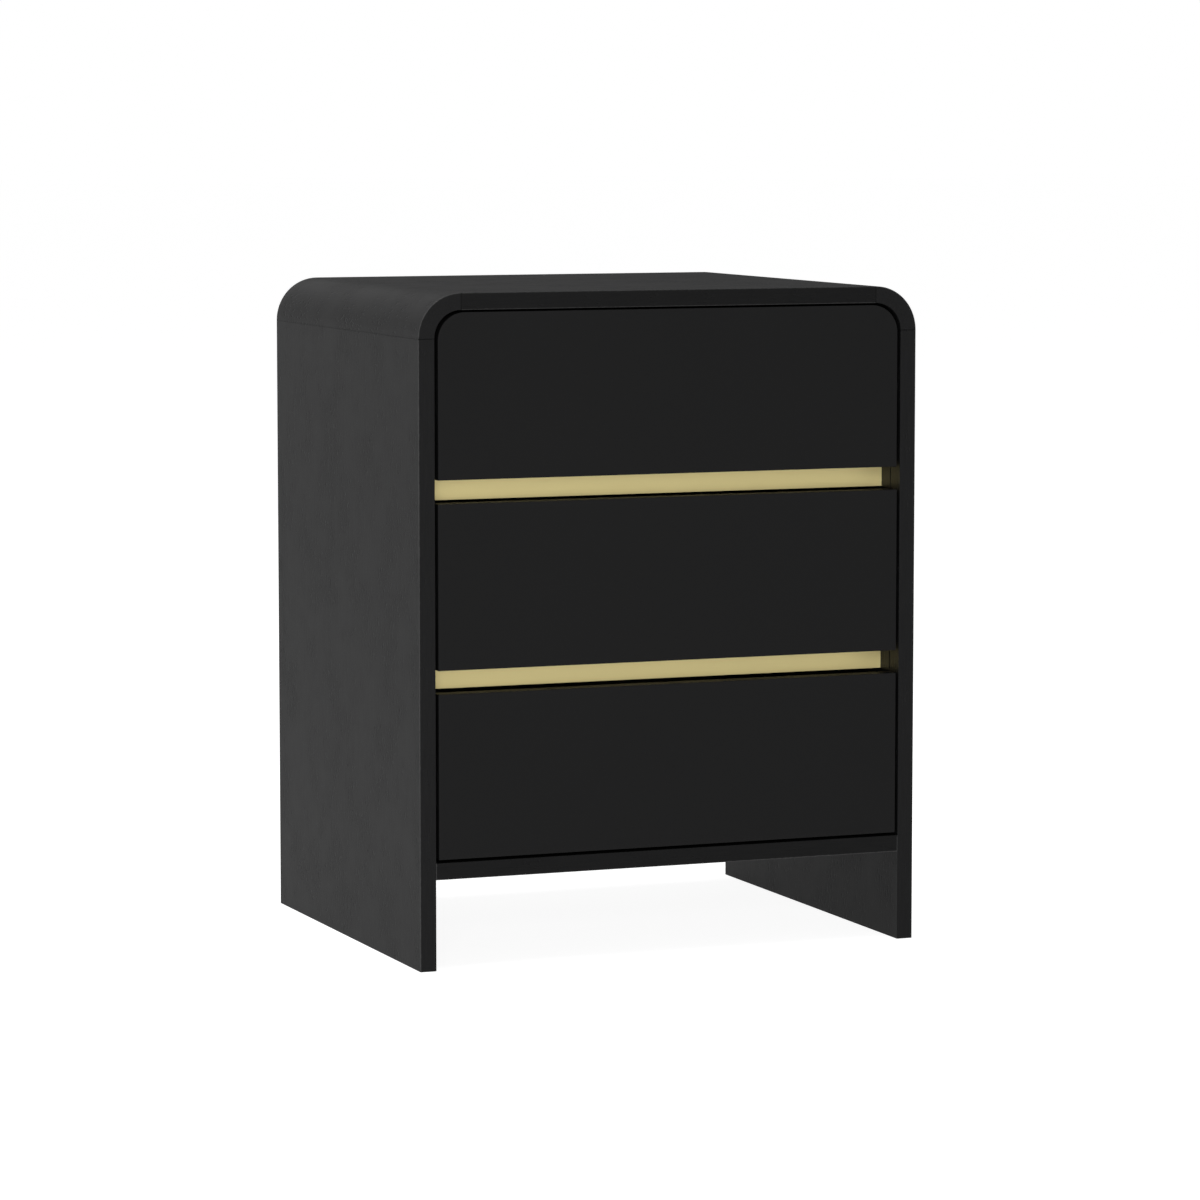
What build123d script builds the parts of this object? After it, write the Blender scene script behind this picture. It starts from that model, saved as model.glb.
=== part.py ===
from build123d import *
import os

# Nightstand with three drawers: a black board case whose sides run down to the floor
# as legs and turn into the top through two curved corner pieces. The drawers have no
# handles: gold strips lie at the back of the finger gaps between their fronts.
# Millimetres. The origin is on the floor at the centre of the footprint, +Z is up,
# and the drawers open towards -Y.

# Case
case_width = 480.0
case_depth = 400.0
case_height = 600.0
board = 15.0
corner_radius = 40.0
leg_height = 81.5
edge_easing = 0.25

# Thin boards: the case's back and the drawers' bottoms, held in grooves
thin_board = 4.0
groove_depth = 5.0
groove_play = 0.2
back_inset = 8.0

# Shallow line along the inner face of each side, behind the drawer fronts
wall_line_setback = 19.3
wall_line_width = 1.6
wall_line_depth = 1.2

# Drawer fronts
front_thickness = 16.0
side_reveal = 2.9
top_front_side_reveal = 3.3
top_reveal = 2.0
bottom_reveal = 2.8
finger_gap = 21.0
front_easing = 0.3

# Divider rails and the gold strips on them
rail_setback = 40.0
rail_depth = 18.0
strip_height = 20.0
strip_thickness = 0.8

# Drawer boxes
box_board = 12.0
box_height = 100.0
box_length = 350.0
box_lift = 18.0
bottom_lift = 10.0

# Ball-bearing drawer slides in three sections
slide_thickness = 12.7
slide_length = 350.0
slide_setback = 2.0
slide_sheet = 1.2
roll_radius = 1.8
outer_height = 45.0
outer_depth = 11.0
outer_lip = 3.2
intermediate_height = 37.0
intermediate_depth = 8.0
intermediate_offset = 4.2
intermediate_lip = 3.3
inner_height = 29.0
inner_depth = 6.3
inner_lip = 2.5
slide_screw_places = (35.0, 175.0, 315.0)
slide_slot_places = (75.0, 255.0)
slide_slot_length = 24.0
slide_slot_width = 5.0

# Fasteners
hole_play = 0.05
screw_radius = 1.75
screw_length = 10.0
screw_head_radius = 3.4
screw_head_height = 1.9
back_screw_length = 35.0
back_screw_head_radius = 3.5
back_screw_head_height = 2.6
recess_width = 0.9
corner_dowel_radius = 3.0
corner_dowel_length = 24.0
corner_dowel_places = (-150.0, 0.0, 150.0)
dowel_radius = 4.0
dowel_length = 30.0
dowel_in_side = 11.0
panel_dowel_places = (-150.0, 150.0)
panel_cam_places = (-110.0, 110.0)
panel_cam_radius = 7.5
panel_cam_depth = 12.5
panel_cam_reach = 34.0
panel_bolt_radius = 3.5
bolt_in_board = 11.0
box_cam_radius = 6.0
box_cam_depth = 9.5
box_cam_reach = 24.0
box_bolt_radius = 2.8
box_cam_heights = (22.0, 78.0)
back_screw_heights = (22.0, 78.0)

# Sizes that follow from those above
half_width = case_width / 2
half_depth = case_depth / 2
inner_half = half_width - board
inner_radius = corner_radius - board
bend_x = half_width - corner_radius
bend_z = case_height - corner_radius
floor_z = leg_height + board
ceiling_z = case_height - board
front_face_y = -half_depth
front_back_y = front_face_y + front_thickness
strip_back_y = front_face_y + rail_setback
back_front_y = half_depth - back_inset - thin_board
opening_height = ceiling_z - floor_z
front_height = (opening_height - top_reveal - bottom_reveal - 2 * finger_gap) / 3
pitch = front_height + finger_gap
box_half = inner_half - slide_thickness
box_inner_half = box_half - box_board
box_back_y = front_back_y + box_length
slide_front_y = front_back_y + slide_setback
slide_middle_y = slide_front_y + slide_length / 2

DRAWERS = {"bottom": 0, "middle": 1, "top": 2}
SIDES = {"left": -1, "right": 1}


def front_bottom(level):
    """Height of the lower edge of the drawer front at a level, counted from below."""
    return floor_z + bottom_reveal + level * pitch


def box_bottom(level):
    return front_bottom(level) + box_lift


def slide_height(level):
    """Height of the middle of the slides that carry a drawer."""
    return box_bottom(level) + box_height / 2


def block(x_ends, y_ends, z_ends):
    """A block between two planes on each axis, given in either order."""
    spans = [abs(b - a) for a, b in (x_ends, y_ends, z_ends)]
    middles = [(a + b) / 2 for a, b in (x_ends, y_ends, z_ends)]
    return Pos(*middles) * Box(*spans)


def rod(start, direction, length, radius):
    """A round rod that starts at a point and runs along a direction."""
    base = (Align.CENTER, Align.CENTER, Align.MIN)
    return Plane(origin=start, z_dir=direction) * Cylinder(radius, length, align=base)


def eased(solid, radius):
    """The solid with all its edges lightly rounded, as edge-banded board has them."""
    return fillet(solid.edges(), radius)


def round_top(solid, radius):
    """The solid with its two upper corners, seen from the front, rounded."""
    return fillet(solid.edges().filter_by(Axis.Y).group_by(Axis.Z)[-1], radius)


def save(name, *solids):
    shape = solids[0] if len(solids) == 1 else Compound(children=list(solids))
    export_step(shape, f"parts/{name}.step")


# ---------------------------------------------------------------- fasteners

def cross_recess(head_radius, depth):
    """Two crossed slots, cut into a screw or cam along its axis from z = 0 down."""
    bar = Box(head_radius * 1.1, recess_width, 2 * depth)
    return bar + Rot(0, 0, 90) * bar


def pan_screw(start, direction):
    """A pan-head screw with its head's underside at the start and its shank ahead."""
    shank = Pos(0, 0, screw_length / 2) * Cylinder(screw_radius, screw_length)
    head = Pos(0, 0, -screw_head_height / 2) * Cylinder(screw_head_radius, screw_head_height)
    head = fillet(head.edges().group_by(Axis.Z)[0], screw_head_height * 0.6)
    cut = Pos(0, 0, -screw_head_height) * cross_recess(screw_head_radius, 1.0)
    return Plane(origin=start, z_dir=direction) * (shank + head - cut)


def sunk_screw(start, direction, play=0.0):
    """A countersunk screw with its flat head's face at the start, grown by a play."""
    middle = (Align.CENTER, Align.CENTER, Align.MIN)
    head = Cone(
        back_screw_head_radius + play, screw_radius + play, back_screw_head_height, align=middle
    )
    shank = Cylinder(screw_radius + play, back_screw_length + play, align=middle)
    screw = head + shank
    if play == 0.0:
        screw -= cross_recess(back_screw_head_radius, 1.2)
    return Plane(origin=start, z_dir=direction) * screw


def cam(face, inward, bolt_side, radius, depth, bolt_radius, bolt_depth):
    """A cam disc let into a board's face, bored across for the bolt that it pulls."""
    disc = rod(face, inward, depth, radius)
    middle = Vector(face) + Vector(inward) * bolt_depth
    bore = rod(middle, bolt_side, radius * 2, bolt_radius + hole_play)
    recess = Plane(origin=face, z_dir=inward) * cross_recess(radius, 1.5)
    return disc - bore - recess


# Slide screws: those of a slide's case member go out through the side panel's inner
# face, and those of its drawer member go in through the box side's outer face.

def case_slide_screw_starts(side, level):
    x = side * (inner_half - slide_sheet)
    return [(x, slide_front_y + y, slide_height(level)) for y in slide_screw_places]


def box_slide_screw_starts(side, level):
    x = side * (box_half + slide_sheet)
    return [(x, slide_front_y + y, slide_height(level)) for y in slide_screw_places]


def slide_screw_holes(starts, direction):
    """Round holes that clear the shanks of pan-head screws."""
    return [rod(start, direction, screw_length, screw_radius + hole_play) for start in starts]


def corner_dowels(side, play=0.0):
    """Dowels across the two seams of a corner bend, to the side and to the top."""
    radius = corner_dowel_radius + play
    half = corner_dowel_length / 2 + play
    side_x = side * (half_width - board / 2)
    top_z = case_height - board / 2
    dowels = []
    for y in corner_dowel_places:
        dowels.append(rod((side_x, y, bend_z - half), (0, 0, 1), 2 * half, radius))
        dowels.append(rod((side * bend_x - half, y, top_z), (1, 0, 0), 2 * half, radius))
    return dowels


def panel_dowels(side, play=0.0):
    """Dowels between the bottom panel and a side."""
    start_x = side * (inner_half + dowel_in_side + play)
    z = leg_height + board / 2
    length = dowel_length + 2 * play
    return [
        rod((start_x, y, z), (-side, 0, 0), length, dowel_radius + play)
        for y in panel_dowel_places
    ]


def rail_dowel(side, z, play=0.0):
    """The dowel between a divider rail and a side."""
    start_x = side * (inner_half + dowel_in_side + play)
    y = strip_back_y + rail_depth / 2
    return rod((start_x, y, z), (-side, 0, 0), dowel_length + 2 * play, dowel_radius + play)


def panel_cam_bolts(side, play=0.0):
    """Bolts from a side panel to the cams in the bottom panel."""
    start_x = side * (inner_half + bolt_in_board + play)
    z = leg_height + board / 2
    length = bolt_in_board + panel_cam_reach + play
    return [
        rod((start_x, y, z), (-side, 0, 0), length, panel_bolt_radius + play)
        for y in panel_cam_places
    ]


def panel_cam_faces(side):
    """Where the cams' faces lie, in the underside of the bottom panel."""
    x = side * (inner_half - panel_cam_reach)
    return [(x, y, leg_height) for y in panel_cam_places]


def box_cam_bolts(side, level, play=0.0):
    """Bolts from a drawer front to the cams in the side of its box."""
    x = side * (box_half - box_board / 2)
    start_y = front_back_y - bolt_in_board - play
    length = bolt_in_board + box_cam_reach + play
    return [
        rod((x, start_y, box_bottom(level) + height), (0, 1, 0), length, box_bolt_radius + play)
        for height in box_cam_heights
    ]


def box_cam_faces(side, level):
    """Where the cams' faces lie, in the inner face of a box side."""
    y = front_back_y + box_cam_reach
    return [
        (side * box_inner_half, y, box_bottom(level) + height) for height in box_cam_heights
    ]


def back_screw_starts(side, level):
    """Where the screws that hold a box's back start, on the outer face of its side."""
    y = box_back_y - box_board / 2
    return [
        (side * box_half, y, box_bottom(level) + height) for height in back_screw_heights
    ]


# ---------------------------------------------------------------- case

def rail_heights():
    """Heights of the middles of the finger gaps, and so of the rails, lower first."""
    return [front_bottom(level) - finger_gap / 2 for level in (1, 2)]


def back_board(margin, play):
    """The thin back, as large as the case's opening plus a margin all round."""
    panel = block(
        (-inner_half - margin, inner_half + margin),
        (back_front_y - play, back_front_y + thin_board + play),
        (floor_z - margin, ceiling_z + margin),
    )
    return round_top(panel, inner_radius + margin)


def back_groove():
    return back_board(groove_depth, groove_play / 2)


def back_panel():
    return back_board(groove_depth - groove_play, 0.0)


def side_panel(side):
    """One side of the case, which is also its leg."""
    panel = block((side * inner_half, side * half_width), (-half_depth, half_depth), (0, bend_z))
    panel = eased(panel, edge_easing)
    line_y = front_face_y + wall_line_setback
    wall_line = block(
        (side * inner_half - wall_line_depth, side * inner_half + wall_line_depth),
        (line_y, line_y + wall_line_width),
        (floor_z, bend_z + 1),
    )
    cuts = [back_groove(), wall_line]
    cuts += corner_dowels(side, hole_play)
    cuts += panel_dowels(side, hole_play)
    cuts += panel_cam_bolts(side, hole_play)
    cuts += [rail_dowel(side, z, hole_play) for z in rail_heights()]
    for level in DRAWERS.values():
        cuts += slide_screw_holes(case_slide_screw_starts(side, level), (side, 0, 0))
    return panel - cuts


def corner_bend(side):
    """A quarter turn of moulded board between a side and the top."""
    start = (side * bend_x, -half_depth, bend_z)
    ring = rod(start, (0, 1, 0), case_depth, corner_radius)
    ring -= rod(start, (0, 1, 0), case_depth, inner_radius)
    quarter = block(
        (side * bend_x, side * half_width), (-half_depth, half_depth), (bend_z, case_height)
    )
    bend = eased(ring & quarter, edge_easing)
    return bend - [back_groove()] - corner_dowels(side, hole_play)


def top_panel():
    panel = block((-bend_x, bend_x), (-half_depth, half_depth), (ceiling_z, case_height))
    panel = eased(panel, edge_easing)
    return panel - [back_groove()] - corner_dowels(-1, hole_play) - corner_dowels(1, hole_play)


def bottom_panel():
    panel = block((-inner_half, inner_half), (-half_depth, half_depth), (leg_height, floor_z))
    panel = eased(panel, edge_easing)
    cuts = [back_groove()]
    for side in SIDES.values():
        cuts += panel_dowels(side, hole_play)
        cuts += panel_cam_bolts(side, hole_play)
        cuts += [
            rod(face, (0, 0, 1), panel_cam_depth + hole_play, panel_cam_radius + hole_play)
            for face in panel_cam_faces(side)
        ]
    return panel - cuts


def divider_rail(z):
    """A rail across the case behind a finger gap."""
    half = strip_height / 2
    rail = block(
        (-inner_half, inner_half), (strip_back_y, strip_back_y + rail_depth), (z - half, z + half)
    )
    return rail - [rail_dowel(side, z, hole_play) for side in SIDES.values()]


def gold_strip(z):
    """The gold strip on the face of a divider rail."""
    half = strip_height / 2
    return block(
        (-inner_half, inner_half), (strip_back_y - strip_thickness, strip_back_y), (z - half, z + half)
    )


# ---------------------------------------------------------------- slides

def channel(height, depth, lip):
    """A rolled channel along Y with its web on x = 0 and lips at the ends of its flanges."""
    middle = Pos(depth / 2, 0)
    outline = middle * Rectangle(depth, height)
    outline = fillet(outline.vertices(), roll_radius)
    hollow = middle * Rectangle(depth - 2 * slide_sheet, height - 2 * slide_sheet)
    hollow = fillet(hollow.vertices(), roll_radius - slide_sheet)
    mouth = Pos(depth, 0) * Rectangle(3 * slide_sheet, height - 2 * lip)
    section = outline - hollow - mouth
    return extrude(Plane.XZ * section, amount=slide_length / 2, both=True)


def web_slots():
    """The oval slots in the web of a slide member."""
    slot = SlotOverall(slide_slot_length, slide_slot_width)
    middles = [place - slide_length / 2 for place in slide_slot_places]
    return [
        extrude(Plane(origin=(0, y, 0), x_dir=(0, 1, 0), z_dir=(1, 0, 0)) * slot, amount=2, both=True)
        for y in middles
    ]


def placed(member, x, z, turned):
    """A slide member moved to its place, with its mouth towards -X if it is turned."""
    return Pos(x, slide_middle_y, z) * Rot(0, 0, 180 if turned else 0) * member


def slide_outer(side, level):
    """The section screwed to the case."""
    member = channel(outer_height, outer_depth, outer_lip) - web_slots()
    member = placed(member, side * inner_half, slide_height(level), side > 0)
    return member - slide_screw_holes(case_slide_screw_starts(side, level), (side, 0, 0))


def slide_intermediate(side, level):
    """The section that runs between the other two on balls."""
    member = channel(intermediate_height, intermediate_depth, intermediate_lip) - web_slots()
    x = side * (inner_half - intermediate_offset)
    return placed(member, x, slide_height(level), side > 0)


def slide_inner(side, level):
    """The section screwed to the drawer box."""
    member = channel(inner_height, inner_depth, inner_lip) - web_slots()
    member = placed(member, side * box_half, slide_height(level), side < 0)
    return member - slide_screw_holes(box_slide_screw_starts(side, level), (-side, 0, 0))


# ---------------------------------------------------------------- drawers

def box_bottom_board(level, margin, play):
    """A drawer's thin bottom, as large as the box inside plus a margin all round."""
    z = box_bottom(level) + bottom_lift
    return block(
        (-box_inner_half - margin, box_inner_half + margin),
        (front_back_y - margin, box_back_y - box_board + margin),
        (z - play, z + thin_board + play),
    )


def box_groove(level):
    return box_bottom_board(level, groove_depth, groove_play / 2)


def drawer_bottom(level):
    return box_bottom_board(level, groove_depth - groove_play, 0.0)


def drawer_front(level):
    is_top = level == DRAWERS["top"]
    half = inner_half - (top_front_side_reveal if is_top else side_reveal)
    low = front_bottom(level)
    front = block((-half, half), (front_face_y, front_back_y), (low, low + front_height))
    if is_top:
        front = round_top(front, inner_radius)
    cuts = [box_groove(level)]
    for side in SIDES.values():
        cuts += box_cam_bolts(side, level, hole_play)
    return eased(front, front_easing) - cuts


def drawer_side(side, level):
    low = box_bottom(level)
    panel = block(
        (side * box_inner_half, side * box_half), (front_back_y, box_back_y), (low, low + box_height)
    )
    cuts = [box_groove(level)]
    cuts += box_cam_bolts(side, level, hole_play)
    cuts += [
        rod(face, (side, 0, 0), box_cam_depth + hole_play, box_cam_radius + hole_play)
        for face in box_cam_faces(side, level)
    ]
    cuts += [
        sunk_screw(start, (-side, 0, 0), hole_play) for start in back_screw_starts(side, level)
    ]
    cuts += slide_screw_holes(box_slide_screw_starts(side, level), (-side, 0, 0))
    return eased(panel, edge_easing) - cuts


def drawer_back(level):
    low = box_bottom(level)
    panel = block(
        (-box_inner_half, box_inner_half), (box_back_y - box_board, box_back_y), (low, low + box_height)
    )
    cuts = [box_groove(level)]
    for side in SIDES.values():
        cuts += [
            sunk_screw(start, (-side, 0, 0), hole_play) for start in back_screw_starts(side, level)
        ]
    return eased(panel, edge_easing) - cuts


def drawer_cams(level):
    sizes = (box_cam_radius, box_cam_depth, box_bolt_radius, box_board / 2)
    return [
        cam(face, (side, 0, 0), (0, -1, 0), *sizes)
        for side in SIDES.values()
        for face in box_cam_faces(side, level)
    ]


def drawer_cam_bolts(level):
    return [bolt for side in SIDES.values() for bolt in box_cam_bolts(side, level)]


def drawer_screws(level):
    screws = []
    for side in SIDES.values():
        screws += [pan_screw(start, (-side, 0, 0)) for start in box_slide_screw_starts(side, level)]
        screws += [sunk_screw(start, (-side, 0, 0)) for start in back_screw_starts(side, level)]
    return screws


# ---------------------------------------------------------------- the parts

def save_case():
    for name, side in SIDES.items():
        save(f"{name}_side_panel", side_panel(side))
        save(f"{name}_corner_bend", corner_bend(side))
    save("top_panel", top_panel())
    save("bottom_panel", bottom_panel())
    save("back_panel", back_panel())
    for name, z in zip(("lower", "upper"), rail_heights()):
        save(f"{name}_divider_rail", divider_rail(z))
        save(f"{name}_gold_strip", gold_strip(z))


def save_case_fasteners():
    sides = list(SIDES.values())
    save("corner_dowels", *[dowel for side in sides for dowel in corner_dowels(side)])
    save("bottom_panel_dowels", *[dowel for side in sides for dowel in panel_dowels(side)])
    save("rail_dowels", *[rail_dowel(side, z) for side in sides for z in rail_heights()])
    save("bottom_panel_cam_bolts", *[bolt for side in sides for bolt in panel_cam_bolts(side)])
    cam_sizes = (panel_cam_radius, panel_cam_depth, panel_bolt_radius, board / 2)
    save("bottom_panel_cams", *[
        cam(face, (0, 0, 1), (side, 0, 0), *cam_sizes)
        for side in sides
        for face in panel_cam_faces(side)
    ])
    save("case_slide_screws", *[
        pan_screw(start, (side, 0, 0))
        for side in sides
        for level in DRAWERS.values()
        for start in case_slide_screw_starts(side, level)
    ])


def save_drawer(name, level):
    for hand, side in SIDES.items():
        save(f"{name}_{hand}_slide_outer", slide_outer(side, level))
        save(f"{name}_{hand}_slide_intermediate", slide_intermediate(side, level))
        save(f"{name}_{hand}_slide_inner", slide_inner(side, level))
        save(f"{name}_drawer_{hand}_side", drawer_side(side, level))
    save(f"{name}_drawer_front", drawer_front(level))
    save(f"{name}_drawer_back", drawer_back(level))
    save(f"{name}_drawer_bottom", drawer_bottom(level))
    save(f"{name}_drawer_cams", *drawer_cams(level))
    save(f"{name}_drawer_cam_bolts", *drawer_cam_bolts(level))
    save(f"{name}_drawer_screws", *drawer_screws(level))


os.makedirs("parts", exist_ok=True)
save_case()
save_case_fasteners()
for drawer_name, drawer_level in DRAWERS.items():
    save_drawer(drawer_name, drawer_level)
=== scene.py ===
import math
import bmesh
import bpy
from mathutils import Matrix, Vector


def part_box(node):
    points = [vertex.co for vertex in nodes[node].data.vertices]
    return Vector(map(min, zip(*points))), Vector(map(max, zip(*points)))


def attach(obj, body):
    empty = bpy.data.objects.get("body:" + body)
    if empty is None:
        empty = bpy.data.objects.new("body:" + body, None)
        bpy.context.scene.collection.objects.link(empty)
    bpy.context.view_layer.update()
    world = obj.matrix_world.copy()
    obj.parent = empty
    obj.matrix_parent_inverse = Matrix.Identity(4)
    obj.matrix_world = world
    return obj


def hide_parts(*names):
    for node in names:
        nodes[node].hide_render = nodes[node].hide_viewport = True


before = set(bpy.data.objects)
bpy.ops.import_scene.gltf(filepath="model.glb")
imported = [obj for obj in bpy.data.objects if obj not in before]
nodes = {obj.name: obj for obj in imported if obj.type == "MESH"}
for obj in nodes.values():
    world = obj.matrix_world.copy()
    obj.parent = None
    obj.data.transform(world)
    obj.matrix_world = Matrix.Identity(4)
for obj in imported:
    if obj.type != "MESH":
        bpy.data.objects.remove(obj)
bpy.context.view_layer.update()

# ---------------------------------------------------------------- side panels
# The two sides are 15 mm fibreboard wrapped in matt black foil with a faint upright
# wood grain. Each runs from the floor to the corner bend, so that its lowest part is
# the leg. Dowels place the bottom panel and the rails on it, and cam bolts pull the
# bottom panel tight.

GRAIN_ALONG = {"X": (60, 1300, 1300), "Y": (1300, 60, 1300), "Z": (1300, 1300, 60)}
DENT_DEPTH = 2.0


def new_group(name, inputs, outputs):
    """An empty shader node group with named sockets, and its two end nodes."""
    group = bpy.data.node_groups.new(name, "ShaderNodeTree")
    for label, kind, value in inputs:
        socket = group.interface.new_socket(label, in_out="INPUT", socket_type=kind)
        socket.default_value = value
    for label, kind in outputs:
        group.interface.new_socket(label, in_out="OUTPUT", socket_type=kind)
    return group, group.nodes.new("NodeGroupInput"), group.nodes.new("NodeGroupOutput")


def plug(tree, slot, value):
    """Feeds a node's socket from another socket, or sets it to a fixed value."""
    if hasattr(value, "is_output"):
        tree.links.new(value, slot)
    else:
        slot.default_value = value


def add_math(tree, operation, first, second=0.0, clamp=False):
    """A maths node: each operand is a socket or a number."""
    node = tree.nodes.new("ShaderNodeMath")
    node.operation = operation
    node.use_clamp = clamp
    plug(tree, node.inputs[0], first)
    plug(tree, node.inputs[1], second)
    return node.outputs[0]


def add_vector_math(tree, operation, first, second=(0, 0, 0)):
    """A vector maths node: each operand is a socket or three numbers."""
    node = tree.nodes.new("ShaderNodeVectorMath")
    node.operation = operation
    plug(tree, node.inputs[0], first)
    plug(tree, node.inputs[1], second)
    return node.outputs[0]


def add_noise(tree, vector, scale, detail, roughness=0.5):
    node = tree.nodes.new("ShaderNodeTexNoise")
    node.inputs["Scale"].default_value = scale
    node.inputs["Detail"].default_value = detail
    node.inputs["Roughness"].default_value = roughness
    tree.links.new(vector, node.inputs["Vector"])
    return node.outputs["Fac"]


def add_step(tree, factor, low, high, low_value=0.0, high_value=1.0):
    """A smooth step of a factor between two of its values."""
    node = tree.nodes.new("ShaderNodeMapRange")
    node.interpolation_type = "SMOOTHSTEP"
    tree.links.new(factor, node.inputs["Value"])
    for label, value in (
        ("From Min", low), ("From Max", high), ("To Min", low_value), ("To Max", high_value)
    ):
        node.inputs[label].default_value = value
    return node.outputs[0]


def add_split(tree, vector):
    """The three parts of a vector."""
    node = tree.nodes.new("ShaderNodeSeparateXYZ")
    tree.links.new(vector, node.inputs[0])
    return node.outputs


def wood_grain_group():
    """Pressed wood grain: faint lines, pores, short dents in clusters, slow cloudiness."""
    group, ins, outs = new_group(
        "wood grain",
        [
            ("Place", "NodeSocketVector", (0, 0, 0)),
            ("Stretch", "NodeSocketVector", GRAIN_ALONG["Z"]),
            ("Pores", "NodeSocketFloat", 0.5),
        ],
        [("Tone", "NodeSocketFloat"), ("Height", "NodeSocketFloat"), ("Cloud", "NodeSocketFloat")],
    )
    stretched = add_vector_math(group, "MULTIPLY", ins.outputs["Place"], ins.outputs["Stretch"])
    lines = add_noise(group, stretched, 0.55, 5.0, 0.62)
    fine = add_noise(group, stretched, 1.9, 3.0, 0.7)
    pores = add_math(group, "MULTIPLY", add_step(group, fine, 0.64, 0.76), ins.outputs["Pores"])
    cloud = add_noise(group, ins.outputs["Place"], 31.0, 4.0, 0.6)
    even = add_vector_math(group, "MULTIPLY", ins.outputs["Place"], (150, 150, 150))
    along = add_vector_math(group, "MULTIPLY", stretched, (0.25, 0.25, 0.25))
    flecks = add_noise(group, add_vector_math(group, "ADD", even, along), 1.0, 1.0)
    clusters = add_step(group, add_noise(group, ins.outputs["Place"], 31.0, 2.0), 0.45, 0.6)
    dents = add_math(group, "MULTIPLY", add_step(group, flecks, 0.58, 0.70), clusters)
    tone = add_math(group, "SUBTRACT", add_step(group, lines, 0.3, 0.72), pores, clamp=True)
    height = add_math(group, "SUBTRACT", add_math(group, "MULTIPLY", lines, 0.5), pores)
    height = add_math(group, "SUBTRACT", height, add_math(group, "MULTIPLY", dents, DENT_DEPTH))
    for label, value in (("Tone", tone), ("Height", height), ("Cloud", cloud)):
        group.links.new(value, outs.inputs[label])
    return group


def block_gaps_group():
    """How far a point of an upright block lies inside its faces, along each axis."""
    group, ins, outs = new_group(
        "gaps in a block",
        [
            ("Place", "NodeSocketVector", (0, 0, 0)),
            ("Low Corner", "NodeSocketVector", (0, 0, 0)),
            ("High Corner", "NodeSocketVector", (1, 1, 1)),
        ],
        [("Gaps", "NodeSocketVector")],
    )
    place, low, high = ins.outputs[:3]
    from_low = add_vector_math(group, "SUBTRACT", place, low)
    from_high = add_vector_math(group, "SUBTRACT", high, place)
    nearest = add_vector_math(group, "MINIMUM", from_low, from_high)
    group.links.new(nearest, outs.inputs["Gaps"])
    return group


def edge_wear_and_highlight_group():
    """An edge mask, 1 where two gaps are both small, broken up by small scuffs: painted highlight on
    foil, wear on melamine.
    """
    group, ins, outs = new_group(
        "edge wear and highlight",
        [
            ("Place", "NodeSocketVector", (0, 0, 0)),
            ("Gaps", "NodeSocketVector", (1, 1, 1)),
            ("Width", "NodeSocketFloat", 0.001),
        ],
        [("Mask", "NodeSocketFloat")],
    )
    x, y, z = add_split(group, ins.outputs["Gaps"])
    smaller = add_math(group, "MINIMUM", x, y)
    larger = add_math(group, "MAXIMUM", x, y)
    middle = add_math(group, "MAXIMUM", smaller, add_math(group, "MINIMUM", larger, z))
    scuffs = add_noise(group, ins.outputs["Place"], 260.0, 4.0, 0.6)
    reach = add_math(group, "MULTIPLY", scuffs, ins.outputs["Width"])
    near = add_math(group, "SUBTRACT", 1.0, add_math(group, "DIVIDE", middle, reach), clamp=True)
    group.links.new(near, outs.inputs["Mask"])
    return group


wood_grain = wood_grain_group()
block_gaps = block_gaps_group()
edge_wear_and_highlight = edge_wear_and_highlight_group()


def new_material(name, specular=0.5, metallic=0.0):
    """A material with its node tree, its Principled BSDF and the piece's own coordinates."""
    material = bpy.data.materials.new(name)
    material.use_nodes = True
    tree = material.node_tree
    shader = tree.nodes["Principled BSDF"]
    shader.inputs["Specular IOR Level"].default_value = specular
    shader.inputs["Metallic"].default_value = metallic
    return material, tree, shader, tree.nodes.new("ShaderNodeTexCoord").outputs["Object"]


def add_group(tree, group, **values):
    """A node group placed in a material, with its inputs linked or set by name."""
    node = tree.nodes.new("ShaderNodeGroup")
    node.node_tree = group
    for label, value in values.items():
        plug(tree, node.inputs[label.replace("_", " ")], value)
    return node.outputs


def add_mix(tree, factor, first, second):
    """A colour between two: each is a socket or a linear colour."""
    node = tree.nodes.new("ShaderNodeMix")
    node.data_type = "RGBA"
    plug(tree, node.inputs[0], factor)
    for slot, colour in ((node.inputs[6], first), (node.inputs[7], second)):
        plug(tree, slot, colour if hasattr(colour, "is_output") else (*colour, 1))
    return node.outputs[2]


def add_bump(tree, shader, height, strength, distance):
    node = tree.nodes.new("ShaderNodeBump")
    node.inputs["Strength"].default_value = strength
    node.inputs["Distance"].default_value = distance
    tree.links.new(height, node.inputs["Height"])
    tree.links.new(node.outputs[0], shader.inputs["Normal"])


def finish(node, material):
    """Gives a CAD piece its material."""
    slots = nodes[node].data.materials
    slots.clear()
    slots.append(material)


FOIL_DARK = (0.0046, 0.0046, 0.0048)
FOIL_LIGHT = (0.0064, 0.0064, 0.0066)
# Colour of the painted highlight along the outer edges of the foil.
FOIL_EDGE_HIGHLIGHT = (0.042, 0.042, 0.042)
FOIL_GLOSS = 0.09
FOIL_ROUGHNESS = (0.54, 0.57)
FOIL_RELIEF = {"strength": 0.5, "distance": 0.0003}
EDGE_WEAR_AND_HIGHLIGHT_WIDTH = 0.0018
OUT_OF_REACH = 0.05
JOINT_HALF_WIDTH = 0.0006
JOINT_SHADOW = (0.0006, 0.0006, 0.0006)


def add_joint_shadow(tree, colour, offset):
    """Darkens the fine open line where two boards meet, at an offset of nothing."""
    distance = add_math(tree, "ABSOLUTE", offset)
    shadow = add_step(tree, distance, 0.3 * JOINT_HALF_WIDTH, JOINT_HALF_WIDTH, 1.0, 0.0)
    return add_mix(tree, shadow, colour, JOINT_SHADOW)


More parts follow.
